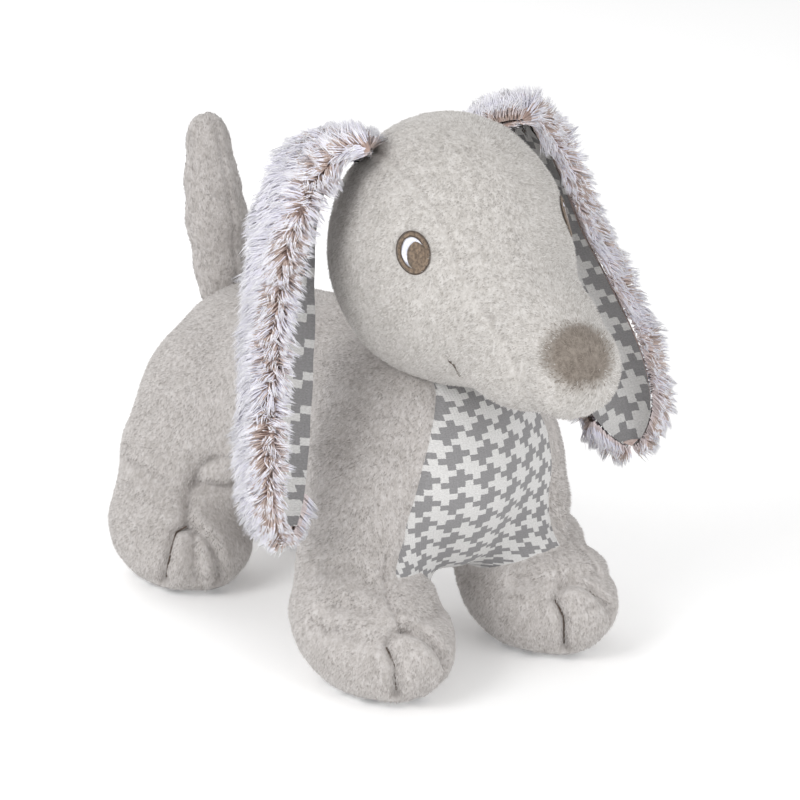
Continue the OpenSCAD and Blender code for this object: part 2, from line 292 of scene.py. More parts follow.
class Nodes:
    def __init__(self, name):
        self.m = bpy.data.materials.new(name)
        self.m.use_nodes = True
        self.t = self.m.node_tree
        self.bsdf = self.t.nodes["Principled BSDF"]

    def put(self, kind, **v):
        n = self.t.nodes.new(kind)
        for k, x in v.items():
            setattr(n, k, x)
        return n

    def link(self, a, b):
        self.t.links.new(a, b)

    def math(self, op, a, b=None, c=None, clamp=False):
        n = self.put("ShaderNodeMath", operation=op, use_clamp=clamp)
        for i, x in enumerate((a, b, c)):
            if x is None:
                continue
            if isinstance(x, (int, float)):
                n.inputs[i].default_value = x
            else:
                self.link(x, n.inputs[i])
        return n.outputs[0]

    def noise(self, vec, scale, detail=2.0, rough=0.5, distortion=0.0):
        n = self.put("ShaderNodeTexNoise")
        n.inputs["Scale"].default_value = scale
        n.inputs["Detail"].default_value = detail
        n.inputs["Roughness"].default_value = rough
        n.inputs["Distortion"].default_value = distortion
        self.link(vec, n.inputs["Vector"])
        return n.outputs["Fac"]

    def stretch(self, vec, x, y, z):
        n = self.put("ShaderNodeMapping")
        n.inputs["Scale"].default_value = (x, y, z)
        self.link(vec, n.inputs["Vector"])
        return n.outputs[0]

    def ramp(self, fac, stops):
        n = self.put("ShaderNodeValToRGB")
        e = n.color_ramp.elements
        e[0].position, e[0].color = stops[0]
        e[1].position, e[1].color = stops[-1]
        for p, c in stops[1:-1]:
            k = e.new(p)
            k.color = c
        self.link(fac, n.inputs[0])
        return n.outputs[0]

    def mixc(self, fac, a, b, blend="MIX"):
        n = self.put("ShaderNodeMix", data_type="RGBA", blend_type=blend)
        for s, x in ((n.inputs[0], fac), (n.inputs[6], a), (n.inputs[7], b)):
            if isinstance(x, (int, float, tuple)):
                s.default_value = x
            else:
                self.link(x, s)
        return n.outputs[2]

    def bump(self, height, strength, distance):
        n = self.put("ShaderNodeBump")
        n.inputs["Strength"].default_value = strength
        n.inputs["Distance"].default_value = distance
        self.link(height, n.inputs["Height"])
        self.link(n.outputs[0], self.bsdf.inputs["Normal"])


def finish_of(n, rough=0.9, sheen=0.25, spec=0.2, tint=(1, 1, 1, 1)):
    b = n.bsdf
    b.inputs["Roughness"].default_value = rough
    b.inputs["Sheen Weight"].default_value = sheen
    b.inputs["Sheen Roughness"].default_value = 0.5
    b.inputs["Sheen Tint"].default_value = tint
    b.inputs["Specular IOR Level"].default_value = spec
    return n.m


def plush(name, lo, mid, hi, spot=None):
    """Short pile: mottled by brushed patches and fibre tufts. spot is (centre in m, radius, soft edge, dark, light)."""
    n = Nodes(name)
    co = n.put("ShaderNodeTexCoord").outputs["Object"]
    fine = n.noise(n.stretch(co, 1, 1, 0.55), 620, 3, 0.65, 0.4)
    mott = n.noise(co, 95, 3, 0.6, 0.3)
    big = n.noise(co, 22, 2, 0.5)
    f = n.math("ADD", n.math("MULTIPLY", fine, 0.74), n.math("ADD", n.math("MULTIPLY", mott, 0.18), n.math("MULTIPLY", big, 0.08)))
    col = n.ramp(f, [(0.36, lin(lo)), (0.5, lin(mid)), (0.64, lin(hi))])
    if spot:
        c, r, soft, dark, light = spot
        d = n.put("ShaderNodeVectorMath", operation="DISTANCE")
        n.link(co, d.inputs[0])
        d.inputs[1].default_value = c
        dist = n.math("ADD", d.outputs["Value"], n.math("MULTIPLY", n.math("SUBTRACT", mott, 0.5), 0.006))
        mask = n.math("SUBTRACT", 1.0, n.math("DIVIDE", n.math("SUBTRACT", dist, r - soft), 2 * soft, clamp=True), clamp=True)
        col = n.mixc(mask, col, n.ramp(f, [(0.36, lin(dark)), (0.64, lin(light))]))
    n.link(col, n.bsdf.inputs["Base Color"])
    n.bump(n.math("ADD", n.math("MULTIPLY", fine, 0.7), n.math("MULTIPLY", mott, 0.5)), 0.55, 0.0009)
    return finish_of(n)


def plain(name, rgb, rough=0.88, sheen=0.3, spec=0.2):
    """One constant colour, for the strands of the pile: their texture is their geometry."""
    n = Nodes(name)
    n.bsdf.inputs["Base Color"].default_value = lin(rgb)
    return finish_of(n, rough, sheen, spec)


def thread(name, a, b, rough=0.5):
    n = Nodes(name)
    co = n.put("ShaderNodeTexCoord").outputs["Object"]
    f = n.noise(co, 900, 2, 0.6)
    n.link(n.ramp(f, [(0.35, lin(a)), (0.65, lin(b))]), n.bsdf.inputs["Base Color"])
    n.bump(f, 0.3, 0.0002)
    return finish_of(n, rough, 0.2, 0.45)


def check(name, light=(216, 215, 214), dark=(146, 145, 146), cell=0.00338):
    """Printed jersey: the stepped check is worked out from the weave UV, in metres, one unit per cell."""
    n = Nodes(name)
    uv = n.put("ShaderNodeUVMap", uv_map="weave").outputs[0]
    obj = n.put("ShaderNodeTexCoord").outputs["Object"]
    wob = n.put("ShaderNodeTexNoise")
    wob.inputs["Scale"].default_value = 1500
    wob.inputs["Detail"].default_value = 1
    n.link(uv, wob.inputs["Vector"])
    sep = n.put("ShaderNodeSeparateXYZ")
    n.link(uv, sep.inputs[0])
    wsep = n.put("ShaderNodeSeparateColor")
    n.link(wob.outputs["Color"], wsep.inputs[0])
    u = n.math("ADD", n.math("DIVIDE", sep.outputs[0], cell), n.math("MULTIPLY", n.math("SUBTRACT", wsep.outputs[0], 0.5), 0.22))
    v = n.math("ADD", n.math("DIVIDE", sep.outputs[1], cell), n.math("MULTIPLY", n.math("SUBTRACT", wsep.outputs[1], 0.5), 0.22))

    def cellno(x):
        return n.math("FLOORED_MODULO", n.math("FLOOR", x), 4.0)

    i, j = cellno(u), cellno(v)

    def is_(x, k):
        return n.math("COMPARE", x, float(k), 0.4)

    r0 = n.math("MULTIPLY", is_(j, 3), is_(i, 1))
    r1 = n.math("MULTIPLY", is_(j, 2), n.math("SUBTRACT", 1.0, is_(i, 3)))
    r2 = n.math("MULTIPLY", is_(j, 1), n.math("SUBTRACT", 1.0, is_(i, 0)))
    r3 = n.math("MULTIPLY", is_(j, 0), is_(i, 2))
    m = n.math("ADD", n.math("ADD", r0, r1), n.math("ADD", r2, r3), clamp=True)
    knit = n.put("ShaderNodeTexWave", wave_type="BANDS", bands_direction="X")
    knit.inputs["Scale"].default_value = 260
    knit.inputs["Distortion"].default_value = 1.2
    n.link(uv, knit.inputs["Vector"])
    rows = n.put("ShaderNodeTexWave", wave_type="BANDS", bands_direction="Y")
    rows.inputs["Scale"].default_value = 300
    n.link(uv, rows.inputs["Vector"])
    stitch = n.math("MULTIPLY", knit.outputs["Fac"], rows.outputs["Fac"])
    mel = n.noise(uv, 1300, 2, 0.7)
    col = n.mixc(m, lin(dark), lin(light))
    shade = n.ramp(mel, [(0.3, (0.80, 0.80, 0.80, 1)), (0.7, (1.06, 1.06, 1.06, 1))])
    col = n.mixc(1.0, col, shade, "MULTIPLY")
    n.link(col, n.bsdf.inputs["Base Color"])
    n.bump(n.math("ADD", stitch, n.math("MULTIPLY", mel, 0.5)), 0.35, 0.0004)
    return finish_of(n, 0.9, 0.15, 0.2)


HEAD_C = [(177, 173, 168), (195, 191, 187), (210, 207, 204)]
BODY_C = [(170, 165, 161), (188, 183, 180), (203, 199, 197)]
NOSE_POS = np.array([-5.2, -140.0, 160.5])
nose_m = tuple(to_m(NOSE_POS[None])[0])
mat_head = plush("plush_head", *HEAD_C, spot=(nose_m, 0.0136, 0.0034, (112, 103, 95), (148, 139, 130)))
mat_body = plush("plush_body", *BODY_C)
mat_print = check("printed_jersey")
mat_brown = thread("thread_brown", (98, 83, 69), (150, 131, 112))
mat_dark = thread("thread_dark_brown", (72, 58, 47), (92, 76, 62))
mat_white = thread("thread_white", (224, 226, 238), (246, 247, 253), 0.45)
pile_head = [plain("pile_head_%d" % i, c) for i, c in enumerate([(167, 162, 157), (187, 183, 179), (203, 200, 196), (218, 215, 212)])]
pile_body = [plain("pile_body_%d" % i, c) for i, c in enumerate([(158, 152, 148), (179, 174, 171), (195, 191, 188), (212, 208, 206)])]
pile_nose = [plain("pile_nose_%d" % i, c) for i, c in enumerate([(128, 119, 110), (150, 141, 132)])]
fur = [plain("fur_%s" % k, c, 0.8, 0.35, 0.3) for k, c in (
    ("root_brown", (192, 167, 157)), ("brown", (209, 189, 180)), ("rose", (230, 217, 217)), ("lilac", (241, 239, 251)), ("tip", (251, 250, 255)))]
mat_furbase = plush("fur_backing_rim", (190, 166, 158), (210, 190, 184), (228, 212, 208))
mat_furback = plush("fur_backing_face", (226, 222, 235), (236, 233, 246), (244, 242, 253))

# ------------------------------------------------------------------ pile made of small one-triangle spikes

rng = np.random.default_rng(11)


def sample(V, T, per_mm2):
    a, b, c = V[T[:, 0]], V[T[:, 1]], V[T[:, 2]]
    area = np.linalg.norm(np.cross(b - a, c - a), axis=1) / 2
    n = int(area.sum() * per_mm2)
    t = np.searchsorted(np.cumsum(area) / area.sum(), rng.random(n))
    t = np.minimum(t, len(T) - 1)
    r1, r2 = np.sqrt(rng.random(n)), rng.random(n)
    w = np.stack([1 - r1, r1 * (1 - r2), r1 * r2], 1)
    return t, w, a[t] * w[:, :1] + b[t] * w[:, 1:2] + c[t] * w[:, 2:]


def wobble(P, s):
    """Smooth pseudo-noise from -1 to 1 over space, with features about s mm across."""
    q = P / s
    return (np.sin(q[:, 0] * 1.7 + 1.3 * np.sin(q[:, 1] * 1.1 + q[:, 2])) + np.sin(q[:, 1] * 2.1 + 1.7 * np.sin(q[:, 2] * 1.3 + q[:, 0] * .7))
            + np.sin(q[:, 2] * 1.9 + 1.1 * np.sin(q[:, 0] * 1.5 + q[:, 1] * .9))) / 3


def spikes(name, P, N, comb, length, width, mats, pick, lift=0.5):
    """Flat one-triangle spikes rooted at P. comb is the direction the pile lies in; pick gives each spike's material.
    """
    n = len(P)
    d = unit(comb - (comb * N).sum(1)[:, None] * N)
    s = np.cross(N, d)
    ang = 0.3 * wobble(P, 11) + 0.18 * wobble(P + 40, 3.5) + rng.normal(0, 0.28, n)
    d = d * np.cos(ang)[:, None] + s * np.sin(ang)[:, None]
    s = np.cross(N, d)
    up = np.clip(lift + 0.18 * wobble(P + 90, 5) + rng.normal(0, 0.12, n), 0.12, 1.1)
    L = length * rng.uniform(0.7, 1.25, n)
    W = width * rng.uniform(0.75, 1.25, n)
    tip = P + (N * np.sin(up)[:, None] + d * np.cos(up)[:, None]) * L[:, None]
    base = P - N * 0.25
    V = np.stack([base + s * W[:, None], base - s * W[:, None], tip], 1).reshape(-1, 3)
    face = unit(np.cross(-s, tip - base))
    face *= np.sign((face * N).sum(1))[:, None]
    flip = (np.cross(-s, tip - base) * N).sum(1) < 0
    F = np.arange(3 * n).reshape(-1, 3)
    F[flip] = F[flip][:, ::-1]
    shade = unit(0.6 * N + 0.55 * face)
    return new_mesh(name, V, F, mats, True, pick, normals=np.repeat(shade, 3, axis=0))


def pile_on(name, V, T, N, comb, mats, per=1.0, length=2.0, width=0.26, lift=0.5, pick=None, keep=None):
    t, w, P = sample(V, T, per * PILE)
    n = unit(N[T[t, 0]] * w[:, :1] + N[T[t, 1]] * w[:, 1:2] + N[T[t, 2]] * w[:, 2:])
    if keep is not None:
        k = keep(P)
        P, n = P[k], n[k]
    c = comb(P)
    f = wobble(P + 20, 2.6) * 0.22 + rng.normal(0, 0.62, len(P))
    idx = np.clip(np.floor((f + 1) / 2 * 4), 0, 3).astype(int) if pick is None else pick(P, f)
    return spikes(name, P, n, c, length, width, mats, idx, lift)


# ------------------------------------------------------------------ head

W_Y = np.array([-143.0, -122.8, -121.4, -116.5, -107.3, -99.5, -90.5, -85.3, -79.5, -69, -56.7, -44, -20, 20])
W_V = np.array([20.0, 21, 22.8, 24, 24.5, 24.7, 26.9, 28, 28.7, 30.9, 31.8, 30, 27, 12])
P_Y = np.array([-160.0, -119, -111, -75, -46, -18, -4, 20])
P_Z = np.array([134.0, 134, 150, 165, 178, 170, 120, 120])


def g_gusset(P):
    x, y, z = np.abs(P[:, 0]), P[:, 1], P[:, 2]
    w = np.interp(y, W_Y, W_V)
    w = np.where(y < -100, np.minimum(w, np.interp(z, [128, 134, 144, 154.5, 161.7, 175], [0, 13.4, 20.2, 22.8, 26, 60])), w)
    return np.maximum(x - w, np.interp(y, P_Y, P_Z) - z)


def tangent_dist(g, V, N, e=0.4):
    """Distance along the surface to g = 0."""
    G = np.stack([g(V + np.eye(3)[i] * e) - g(V - np.eye(3)[i] * e) for i in range(3)], -1) / (2 * e)
    G = G - (G * N).sum(1)[:, None] * N
    return np.abs(g(V)) / (np.linalg.norm(G, axis=1) + 0.15)


EYE = {-1: np.array([-38.7, -75.1, 192.2]), 1: np.array([34.8, -79.0, 195.3])}   # not quite a mirror pair

V, T = skin(f_head, (-56, -155, 118), (56, 12, 242), STEP)
N = unit(grad(f_head, V))
d = tangent_dist(g_gusset, V, N)
disp = -0.9 * np.exp(-(d / 1.5) ** 2)
front = (V[:, 1] < -60) & (V[:, 2] < 150)
chin = np.abs(V[:, 0])
disp -= np.where(front & (V[:, 2] < 136), 0.8 * np.exp(-(chin / 1.4) ** 2), 0)
MOUTH = [(29.6, -84.2, 149.2), (29.3, -85.4, 147.5), (27.6, -87.2, 145.6), (25.6, -86.6, 142.8), (23.3, -85.3, 139.5), (19, -88, 135.5)]
for s in (-1, 1):
    M = [(s * a, b, c) for a, b, c in MOUTH]
    M = project(f_head, np.array(M, float))
    disp -= 1.1 * np.exp(-(line_dist(V, M) / 2.0) ** 2)
    E = EYE[s]
    disp -= 0.5 * np.exp(-(np.linalg.norm(V - E, axis=1) / 11) ** 4)
disp += 0.35 * wobble(V, 17) + 0.15 * wobble(V + 50, 7)
V = V + N * disp[:, None]


def f_nose(P):
    return np.linalg.norm(P - NOSE_POS, axis=1) - 16.6


keep = [N]
V, Tn, To = cut(V, T, f_nose, keep)
V, Tg, Ts = cut(V, To, g_gusset, keep)
V, Tl, Tr = cut(V, Ts, lambda P: -P[:, 0], keep)
N = unit(keep[0])
head_parts = {"nose": (Tn, ["nose_patch"]), "head_gusset_skin": (Tg, ["head_gusset", "head_stuffing"]),
              "head_side_skin_left": (Tl, ["head_side_left"]), "head_side_skin_right": (Tr, ["head_side_right"])}
for name, (t, reps) in head_parts.items():
    v, f, nn = compact(V, t, N)
    o = new_mesh(name, v, f, [mat_head])
    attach(o, "head")
    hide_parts(*reps)


def comb_head(P):
    y = np.clip((P[:, 1] + 139) / 60, 0, 1)
    return np.stack([0.9 * np.sign(P[:, 0]) * np.clip(np.abs(P[:, 0]) / 30, 0, 1), 0.8 * (1 - y) + 0.5, -0.35 - 0.5 * y], -1) + 1e-6


def off_eyes(P):
    return np.minimum(*[np.linalg.norm((P - EYE[s]) / np.array([1.0, 1.0, 1.22]), axis=1) for s in (-1, 1)]) > 7.0


def pick_head(P, f):
    r = np.linalg.norm(P - NOSE_POS, axis=1) + rng.normal(0, 1.7, len(P))
    light = np.clip(np.floor((f + 1) / 2 * 4), 0, 3).astype(int)
    return np.where(r < 13.6, 4 + (f > -0.1), light)


for name, tri in (("head_pile_front", np.concatenate([Tn, Tg])), ("head_pile_sides", np.concatenate([Tl, Tr]))):
    o = pile_on(name, V, tri, N, comb_head, pile_head + pile_nose, 2.0, 1.5, 0.2, 0.42, pick_head, off_eyes)
    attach(o, "head")

# ------------------------------------------------------------------ embroidery


def threads(name, A, B, f, w, h, mat, index=None, k=5, lift=0.5):
    """Raised threads laid on the surface f from points A to points B, arched by h in the middle."""
    n = len(A)
    t = np.linspace(0, 1, k)[None, :, None]
    P = A[:, None] * (1 - t) + B[:, None] * t
    shp = P.shape
    P = project(f, P.reshape(-1, 3)).reshape(shp)
    Nn = unit(grad(f, P.reshape(-1, 3))).reshape(shp)
    arch = np.sqrt(np.sin(np.pi * np.linspace(0, 1, k)))[None, :, None]
    P = P + Nn * (lift - 0.45 + h * arch)
    D = unit(np.gradient(P, axis=1))
    S = unit(np.cross(Nn, D))
    ww = w * (0.55 + 0.45 * arch)
    ring = np.stack([P + S * ww, P + Nn * ww * 0.9, P - S * ww, P - Nn * ww * 0.9], 2)
    Vv = ring.reshape(-1, 3)
    i = (np.arange(n)[:, None, None] * k + np.arange(k - 1)[None, :, None]) * 4
    j = np.arange(4)[None, None, :]
    a, b = i + j, i + (j + 1) % 4
    F = np.stack([a, b, b + 4, a + 4], -1).reshape(-1, 4)
    ends = np.concatenate([np.arange(n)[:, None] * k * 4 + np.array([3, 2, 1, 0])[None], (np.arange(n)[:, None] * k + k - 1) * 4 + np.array([0, 1, 2, 3])[None]])
    F = np.concatenate([F, ends])
    return new_mesh(name, Vv, F, [mat] if not isinstance(mat, list) else mat, True)


def eye(side, s):
    c = project(f_head, EYE[s][None])[0]
    n = unit(grad(f_head, c[None]))[0]
    up = np.array([0.0, 0.42, 1.0])
    up = unit(up - (up @ n) * n)
    r = np.cross(up, n)

    def at(a, b):
        return c + np.asarray(a)[..., None] * r + np.asarray(b)[..., None] * up

    rx, rz = 6.9, 8.5
    c = c - up * 0.35
    th = np.linspace(0, 2 * math.pi, 84, endpoint=False)
    ov, iv = (rx, rz), (rx - 1.9, rz - 1.9)
    skew = 0.05
    o = threads("eye_ring_" + side, at(iv[0] * np.cos(th), iv[1] * np.sin(th)), at(ov[0] * np.cos(th + skew), ov[1] * np.sin(th + skew)),
                f_head, 0.36, 0.35, mat_brown)
    e = threads("eye_edge_" + side, at(7.1 * np.cos(th), 8.7 * np.sin(th)), at(7.1 * np.cos(th + .09), 8.7 * np.sin(th + .09)), f_head, 0.24, 0.1, mat_dark, lift=0.7)
    ti = th[(th > 0.35) & (th < 4.1)] if s < 0 else math.pi - th[(th > 0.35) & (th < 4.1)]
    e2 = threads("eye_inner_edge_" + side, at(4.95 * np.cos(ti), 6.55 * np.sin(ti)), at(4.95 * np.cos(ti + .09), 6.55 * np.sin(ti + .09)), f_head, 0.2, 0.1, mat_dark, lift=0.85)
    xs = np.linspace(-4.75, 4.75, 27)
    top = 6.6 * np.sqrt(1 - (xs / 5.0) ** 2)
    pxc, pzc, prx, prz = -1.5 * s, -2.0, 4.5, 5.9
    inside = np.clip(1 - ((xs - pxc) / prx) ** 2, 0, 1)
    ptop = pzc + prz * np.sqrt(inside)
    ptop = np.where(np.abs(xs - pxc) < prx, ptop, -top)
    w_ok = top - np.maximum(ptop - 0.3, -top) > 0.5
    xs, top, ptop = xs[w_ok], top[w_ok], ptop[w_ok]
    w = threads("eye_white_thread_" + side, at(xs, np.maximum(ptop - 0.3, -top)), at(xs, top), f_head, 0.26, 0.18, mat_white)
    zs = np.linspace(pzc - prz + 0.15, pzc + prz - 0.15, 30)
    half = prx * np.sqrt(np.clip(1 - ((zs - pzc) / prz) ** 2, 0.02, 1))
    rim_ = 6.5 * np.sqrt(np.clip(1 - (zs / 8.2) ** 2, 0.01, 1))
    lo_, hi_ = np.maximum(pxc - half, -rim_), np.minimum(pxc + half, rim_)
    p = threads("eye_pupil_thread_" + side, at(lo_, zs - 0.3), at(hi_, zs + 0.3), f_head, 0.28, 0.42, mat_brown)
    for q in (o, e, e2, w, p):
        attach(q, "head")
    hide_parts("eye_outline_" + side)
    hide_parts("eye_white_" + side)
    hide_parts("eye_pupil_" + side)


eye("left", 1)
eye("right", -1)


def run_line(pts, gap, slant=0.0):
    """Points along a polyline every gap mm."""
    pts = np.array(pts, float)
    seg = np.r_[0, np.cumsum(np.linalg.norm(np.diff(pts, axis=0), axis=1))]
    s = np.arange(0, seg[-1], gap)
    return np.stack([np.interp(s, seg, pts[:, i]) for i in range(3)], -1)


def f_head_in(P):
    return f_head(P) + 0.7


ms = []
for s in (-1, 1):
    L = run_line([(s * a, b, c) for a, b, c in MOUTH[1:5]], 0.9)
    A, B = L[:-1], L[1:] + (L[1:] - L[:-1]) * 0.7
    ms.append((A, B))
o = threads("mouth_thread", np.concatenate([a for a, _ in ms]), np.concatenate([b for _, b in ms]), f_head_in, 0.42, 0.25, mat_dark)
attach(o, "head")
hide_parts("mouth_stitches")

# ------------------------------------------------------------------ body, legs and feet

CH_Z = np.array([20.0, 50, 53, 64, 82, 97, 111, 125, 140])
CH_W = np.array([41.0, 41, 40, 33, 29.5, 26.5, 22, 15.5, 12])


CH_WL = np.array([41.0, 41, 41, 41, 41.5, 40, 35, 27, 22])      # the dog's left half of the panel is fuller


def g_chest(P):
    x, y, z = P[:, 0], P[:, 1], P[:, 2]
    w = np.where(x < 0, np.interp(z, CH_Z, CH_W), np.interp(z, CH_Z, CH_WL))
    low = np.interp(x, [-41, -26, -16, 13, 18, 30, 41], [51, 49, 40, 38, 41, 46, 48])
    return np.maximum(np.maximum(np.abs(x) - w, y + 34), (low - z) * 0.8)


def g_front(P):
    return np.maximum(np.maximum(P[:, 2] - 54, np.interp(P[:, 2], [33, 46], [5, 19]) - np.abs(P[:, 0])), P[:, 1] + 4)


def g_rear(P):
    return np.maximum(np.maximum(P[:, 2] - 50, np.interp(P[:, 2], [33, 46], [4, 19]) - np.abs(P[:, 0])), 54 - P[:, 1])


def g_belly(P):
    return np.maximum(np.abs(P[:, 0]) - 19, P[:, 2] - 75)


def seam_x(P, front, right):
    y = P[:, 1]
    if front:
        return np.where(right, -46 + 0.27 * (np.minimum(y, -60) + 65), 36 + 0.45 * (np.minimum(y, -62) + 72)) if False else (
            -46 + 0.27 * (np.minimum(y, -60) + 65) if right else 36 + 0.45 * (np.minimum(y, -62) + 72))
    x = np.minimum(-56 + 0.4 * (np.maximum(y, 62) - 68), -42)
    return x if right else x + 84


TOE_F = [[(-53.4, -84.3, 7), (-55.6, -86.5, 15), (-57.1, -88.0, 22.8), (-58.2, -86.7, 26.8), (-59.1, -84.3, 30.9)],
         [(-59.1, -84.3, 30.9), (-57.5, -83.9, 33.9), (-54.2, -84.0, 36.9), (-49.2, -86.3, 37.2), (-43.8, -90.1, 33.5), (-38.7, -92.3, 26.8),
          (-33.4, -90.8, 19.4), (-32.5, -89, 12), (-34, -86, 6)]]
TOE_R = [[(-63.4, 76.9, 6), (-64.2, 71.3, 19.4), (-63.1, 70.3, 27.0), (-60.5, 70.5, 32.7), (-56.0, 68.2, 35.6)],
         [(-56.0, 68.2, 35.6), (-52.5, 63.7, 33.6), (-49.2, 59.7, 29.3), (-47.6, 57.8, 23.1), (-45.4, 58.7, 14.8), (-42.1, 63.4, 6)]]
CREASE_F = [[(-64.4, -43.6, 52.8), (-61.0, -51.3, 54.2), (-57.3, -57.4, 53.2), (-52.4, -65.6, 49.4)],
            [(-67.7, -55.0, 40.5), (-63.5, -62.4, 42.5), (-59.2, -69.5, 43.0)],
            [(-71.9, -49.5, 30.5), (-69.8, -60.8, 32.6), (-66.0, -73.4, 32.4), (-61.1, -81.6, 31.9)],
            [(-47.3, -86.5, 37.6), (-43.3, -85.6, 39.2), (-40, -84.2, 38.6), (-30, -80, 36), (-20, -68, 36)]]
CREASE_R = [[(-47.6, 72.4, 50.0), (-43.2, 68.3, 49.8), (-38.4, 64.7, 49.3), (-33, 61.9, 50)],
            [(-62.5, 106.6, 54.7), (-61.9, 94.3, 53.5), (-58.4, 85.2, 50.1)],
            [(-56.0, 68.2, 35.6), (-52.6, 72.4, 42.1), (-49.6, 74.4, 50.4), (-47.4, 70.6, 59.6), (-44.4, 66.2, 62.4)],
            [(-54.7, 63.6, 31.4), (-55.7, 61.6, 22.7), (-55.2, 62.9, 12)]]
SEAMS = [[(-56.0, 68.2, 35.6), (-52.6, 72.4, 42.1), (-49.6, 74.4, 50.4), (-47.4, 70.6, 59.6), (-42, 64, 65), (-34, 58, 66)],
         [(-54.7, 63.6, 33), (-55.7, 61.6, 22.7), (-55.2, 62.9, 6)],
         [(-51.1, -85.3, 37.5), (-51.6, -82.2, 40.1), (-50.6, -76.2, 44.3), (-49.0, -70.2, 47.8), (-45.6, -65.5, 52.5), (-42, -62, 60)]]

V, T = skin(f_body, (-76, -98, -3), (76, 142, 150), STEP)
V = V[:]
N = unit(grad(f_body, V))
x, y, z = V.T
disp = 0.45 * wobble(V, 19) + 0.2 * wobble(V + 30, 8)
disp *= np.clip(z / 12, 0, 1)
disp += 9.0 * np.exp(-(np.linalg.norm((V - np.array([42, -42, 88])) / np.array([26, 27, 31]), axis=1)) ** 2.4)
disp += 5.0 * np.exp(-(np.linalg.norm((V - np.array([2, -56, 48])) / np.array([19, 17, 11]), axis=1)) ** 2)
disp += 1.5 * np.exp(-(np.linalg.norm((V - np.array([-42, -42, 88])) / np.array([26, 27, 31]), axis=1)) ** 2.4)
toe_lines = []
for dx, lines, mid in ((0, TOE_F, (-46, -91, 20)), (87, TOE_F, (-46, -91, 20)), (0, TOE_R, (-54, 62, 20)), (84, TOE_R, (-54, 62, 20))):
    L = [[(a + dx, b, c) for a, b, c in l] for l in lines]
    L = [project(f_body, np.array(l, float)) for l in L]
    toe_lines.append(L)
    dd = np.minimum(line_dist(V, L[0]), line_dist(V, L[1]))
    disp += 2.0 * np.exp(-(np.linalg.norm((V - np.array([mid[0] + dx, mid[1], mid[2]])) / np.array([9.5, 12, 12]), axis=1)) ** 2)
    disp += 0.9 * np.exp(-((dd - 5) / 3.5) ** 2)
    disp -= 3.4 * np.exp(-(dd / 2.1) ** 2)
for lines, mir in ((CREASE_F, 1), (CREASE_F, -1), (CREASE_R, 1), (CREASE_R, -1)):
    for k, l in enumerate(lines):
        l = project(f_body, np.array([(a * mir, b, c) for a, b, c in l], float))
        sharp = lines is CREASE_R and k == 0
        disp -= (5.0 if sharp else 2.8) * np.exp(-(line_dist(V, l) / (2.7 if sharp else 3.6)) ** 2)
for l in SEAMS:
    for mir in (1, -1):
        L = project(f_body, np.array([(a * mir, b, c) for a, b, c in l], float))
        disp -= 1.7 * np.exp(-(line_dist(V, L) / 1.2) ** 2)
# under the chest, where the leg's inner panel meets the printed panel
d = tangent_dist(g_chest, V, N)
disp -= np.where(y < -20, 1.0 * np.exp(-(d / 1.5) ** 2), 0)
# the two sides meet along the spine
disp -= np.where((z > 100) & (y > -5), 0.8 * np.exp(-(np.abs(x) / 1.4) ** 2), 0)
for side in (-1, 1):
    on = (np.sign(x) == side) & (np.abs(x) > 20)
    for front in (True, False):
        sx = np.abs(x - seam_x(V, front, side < 0)) * np.sqrt(np.clip(1 - N[:, 0] ** 2, 0.2, 1))
        zone = on & (z < 56) & ((y < -62) & (z > 36) if front else ((y > 100) & (z > 3)))
        disp -= np.where(zone, 0.8 * np.exp(-(sx / 1.4) ** 2), 0)
# the soft fold where the tail leaves the rump
disp -= 1.2 * np.exp(-((np.linalg.norm(V - np.array([0, 122, 124]), axis=1) - 13.5) / 2.2) ** 2)
V = V + N * disp[:, None]
V[:, 2] = np.maximum(V[:, 2], 0)

keep = [N]
V, Tc, T = cut(V, T, g_chest, keep)
V, Tf, T = cut(V, T, g_front, keep)
V, Tr_, T = cut(V, T, g_rear, keep)
V, Tb, T = cut(V, T, g_belly, keep)
V, TL, TR = cut(V, T, lambda P: -P[:, 0], keep)
N = unit(keep[0])


def chest_uv(v):
    u = 0.046 * np.arcsin(np.clip(v[:, 0] / 46, -1, 1))
    w = 1.36 * 0.050 * np.arcsin(np.clip((v[:, 2] - 91) / 52, -1, 1))
    c = math.radians(-3)
    return np.stack([u * math.cos(c) - w * math.sin(c) + 0.0021, u * math.sin(c) + w * math.cos(c) + 0.0012], -1)


v, f, nn = compact(V, Tc, N)
o = new_mesh("chest_panel_print", v, f, [mat_print], uv=chest_uv(v))
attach(o, "torso"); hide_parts("chest_panel")
for name, t, reps in (("body_skin_left", TL, ["body_side_left", "body_stuffing", "neck_stuffing"]), ("body_skin_right", TR, ["body_side_right"]),
                      ("belly_skin", Tb, ["belly_panel"])):
    v, f, nn = compact(V, t, N)
    o = new_mesh(name, v, f, [mat_body])
    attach(o, "torso"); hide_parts(*reps)


def comb_body(P):
    return np.stack([0.1 * np.sign(P[:, 0]), np.full(len(P), 0.35), np.full(len(P), -0.9)], -1)


for name, t in (("body_pile_left", TL), ("body_pile_right", TR), ("belly_pile", Tb)):
    o = pile_on(name, V, t, N, comb_body, pile_body, 1.5, 1.6, 0.21, 0.42)
    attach(o, "torso")

